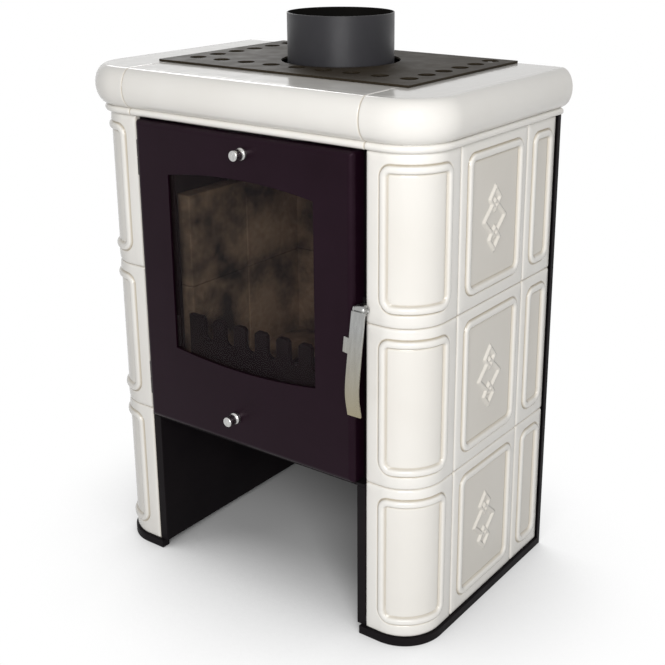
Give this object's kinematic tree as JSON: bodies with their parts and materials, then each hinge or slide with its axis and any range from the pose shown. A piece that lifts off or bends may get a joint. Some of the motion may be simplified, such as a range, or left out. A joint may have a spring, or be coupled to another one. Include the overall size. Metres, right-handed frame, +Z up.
{
  "type": "tiled stove",
  "caption": "Free-standing wood stove with a glazed steel door, an open log niche, glazed ceramic tile sides, a ceramic crown, a perforated top plate and a round flue collar.",
  "frame": {"origin": "on the floor, under the middle of the stove's outer box", "axes": "+Z up, front and door towards -Y, +X to the right of someone facing the door"},
  "size_m": [0.5914, 0.3822, 0.8063],
  "materials": {
    "glaze": "warm white glaze, glossy",
    "door_paint": "satin heat-proof paint, near black",
    "black_steel": "matte heat-proof paint, black",
    "plate_steel": "satin, dark brown-black",
    "collar_steel": "satin, dark grey",
    "brushed_steel": "brushed",
    "cast_iron": "rough casting",
    "chamotte": "matte fired clay, sooty",
    "ceramic_glass": "clear heat-proof glass",
    "rope": "woven sealing rope",
    "galvanised": "dull zinc-coated sheet"
  },
  "bodies": {
    "casing": {"tile_right_bottom_corner": "glaze", "tile_right_bottom_side": "glaze", "tile_right_bottom_rear": "glaze", "tile_right_middle_corner": "glaze", "tile_right_middle_side": "glaze", "tile_right_middle_rear": "glaze", "tile_right_top_corner": "glaze", "tile_right_top_side": "glaze", "tile_right_top_rear": "glaze", "tile_left_bottom_corner": "glaze", "tile_left_bottom_side": "glaze", "tile_left_bottom_rear": "glaze", "tile_left_middle_corner": "glaze", "tile_left_middle_side": "glaze", "tile_left_middle_rear": "glaze", "tile_left_top_corner": "glaze", "tile_left_top_side": "glaze", "tile_left_top_rear": "glaze", "crown_front": "glaze", "crown_left": "glaze", "crown_right": "glaze", "plinth_left": "black_steel", "plinth_right": "black_steel", "top_plate": "plate_steel", "flue_collar": "collar_steel", "rear_panel": "black_steel", "niche_side_left": "black_steel", "niche_side_right": "black_steel", "firebox_shelf": "black_steel", "tile_shield_left": "galvanised", "tile_shield_right": "galvanised", "firebox_front": "black_steel", "firebox_left": "black_steel", "firebox_right": "black_steel", "firebox_back": "black_steel", "firebox_roof": "black_steel", "hearth_plate": "black_steel", "hearth_floor": "chamotte", "grate": "cast_iron", "ash_pan": "galvanised", "firebrick_left": "chamotte", "firebrick_right": "chamotte", "firebrick_back": "chamotte", "baffle": "chamotte", "log_retainer": "cast_iron", "hinge_lower": "black_steel", "hinge_upper": "black_steel"},
    "door": {"door_leaf": "door_paint", "door_glass": "ceramic_glass", "glass_clip_left": "galvanised", "glass_clip_right": "galvanised", "door_gasket": "rope", "handle_pin": "brushed_steel"},
    "handle": {"handle_boss": "brushed_steel", "handle_grip": "brushed_steel", "latch_nose": "brushed_steel"},
    "upper_air_control": {"air_knob_upper": "brushed_steel", "air_damper_upper": "black_steel"},
    "lower_air_control": {"air_knob_lower": "brushed_steel", "air_damper_lower": "black_steel"}
  },
  "joints": [
    {"name": "door_hinge", "type": "hinge", "parent": "casing", "child": "door", "pos_m": [-0.1891, -0.15615, 0.449], "axis": [0, 0, -1], "range_deg": [0, 100]},
    {"name": "handle_lift", "type": "hinge", "parent": "door", "child": "handle", "pos_m": [0.1955, -0.16665, 0.472], "axis": [-1, 0, 0], "range_deg": [0, 35]},
    {"name": "upper_air_pull", "type": "slide", "parent": "door", "child": "upper_air_control", "axis": [0, -1, 0], "range_m": [0, 0.02]},
    {"name": "lower_air_pull", "type": "slide", "parent": "door", "child": "lower_air_control", "axis": [0, -1, 0], "range_m": [0, 0.02]}
  ]
}
